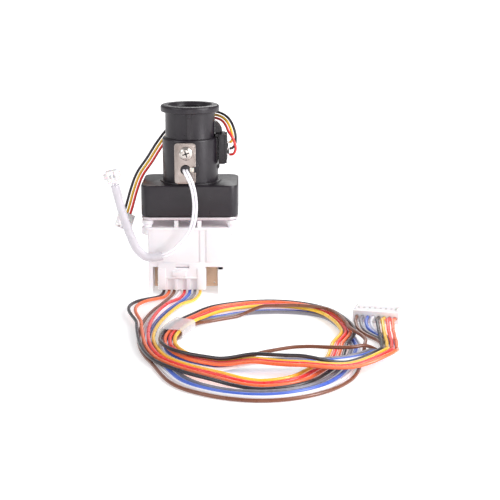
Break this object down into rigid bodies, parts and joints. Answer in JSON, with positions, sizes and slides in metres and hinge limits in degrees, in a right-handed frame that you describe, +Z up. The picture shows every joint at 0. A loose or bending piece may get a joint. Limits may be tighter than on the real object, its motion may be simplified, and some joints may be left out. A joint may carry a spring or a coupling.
{
  "type": "diverter valve",
  "caption": "Motorised diverter valve: round inlet with flow turbine and temperature probe, black valve block with rear outlets, white gear housing, sensor leads and wire harness.",
  "frame": {"origin": "bottom centre of the object without its cords, on the surface that the two legs stand on", "axes": "+Z up along the inlet axis, towards the inlet flange; -Y towards the harness plug and the temperature probe; +X towards the Hall sensor"},
  "size_m": [0.1402, 0.1962, 0.0923],
  "materials": {
    "black_plastic": "satin charcoal moulded plastic",
    "white_plastic": "satin white moulded plastic",
    "natural_plastic": "uncoloured acetal",
    "plate_steel": "plain zinc-plated steel",
    "nickel": "nickel-plated steel",
    "rubber": "black seal rubber",
    "magnet": "grey plastic-bonded magnet",
    "board_tan": "tan paper-phenolic board",
    "sensor_board": "dark lacquered board with solder joints",
    "connector_nylon": "white nylon",
    "clear_sleeve": "clear soft tube",
    "lead_sleeve": "translucent white tube",
    "wire_black": "glossy PVC",
    "wire_white": "glossy PVC",
    "wire_red": "glossy PVC",
    "wire_orange": "glossy PVC",
    "wire_yellow": "glossy PVC",
    "wire_blue": "glossy PVC",
    "wire_brown": "glossy PVC",
    "wire_grey": "glossy PVC"
  },
  "bodies": {
    "valve": {"valve_body": "black_plastic", "upper_bearing_spider": "black_plastic", "lower_bearing_spider": "black_plastic", "turbine_axle": "nickel", "bottom_cover": "black_plastic", "cover_gasket": "rubber", "shaft_bush": "natural_plastic", "mounting_plate": "plate_steel", "block_screw_front_left": "nickel", "block_screw_rear_left": "nickel", "block_screw_front_right": "nickel", "block_screw_rear_right": "nickel", "gear_housing": "white_plastic", "housing_floor": "white_plastic", "compound_gear_pin": "nickel", "motor_can": "plate_steel", "circuit_board": "board_tan", "board_header": "white_plastic", "position_sensor": "black_plastic", "harness_plug": "white_plastic", "thermistor_bracket": "plate_steel", "bracket_screw": "nickel", "thermistor_probe": "natural_plastic", "thermistor_seal": "rubber", "hall_case": "black_plastic", "hall_board": "sensor_board", "hall_clip": "black_plastic", "outlet_seal_left": "rubber", "outlet_seal_right": "rubber", "harness_sleeve": "clear_sleeve", "end_connector": "connector_nylon", "hall_wire_black": "wire_black", "hall_wire_yellow": "wire_yellow", "hall_wire_red": "wire_red", "hall_connector": "connector_nylon", "thermistor_wire_a": "wire_white", "thermistor_wire_b": "wire_white", "thermistor_sleeve": "lead_sleeve", "thermistor_connector": "connector_nylon", "harness_wire_black": "wire_black", "harness_wire_orange": "wire_orange", "harness_wire_white": "wire_white", "harness_wire_red": "wire_red", "harness_wire_blue": "wire_blue", "harness_wire_brown": "wire_brown", "harness_wire_grey": "wire_grey", "harness_wire_yellow": "wire_yellow"},
    "turbine": {"flow_turbine": "natural_plastic", "turbine_magnet": "magnet"},
    "diverter": {"diverter_drum": "natural_plastic", "drum_seal": "rubber", "output_gear": "natural_plastic"},
    "compound": {"compound_gear": "natural_plastic"},
    "pinion": {"motor_pinion": "nickel"}
  },
  "joints": [
    {"name": "drum_turn", "type": "hinge", "parent": "valve", "child": "diverter", "pos_m": [0, -0.0055, 0.047], "axis": [0, 0, 1], "range_deg": [-45, 45]},
    {"name": "compound_spin", "type": "hinge", "parent": "valve", "child": "compound", "pos_m": [-0.0112, 0.00005, 0.028], "axis": [0, 0, 1], "range_deg": [-180, 180]},
    {"name": "pinion_spin", "type": "hinge", "parent": "valve", "child": "pinion", "pos_m": [-0.0063, -0.0081, 0.026], "axis": [0, 0, 1], "range_deg": [-504, 504]},
    {"name": "turbine_spin", "type": "hinge", "parent": "valve", "child": "turbine", "pos_m": [0, -0.0055, 0.07], "axis": [0, 0, 1], "continuous": true}
  ],
  "couplings": [
    {"joint": "compound_spin", "follows": "drum_turn", "ratio": -4},
    {"joint": "pinion_spin", "follows": "drum_turn", "ratio": 11.2}
  ]
}
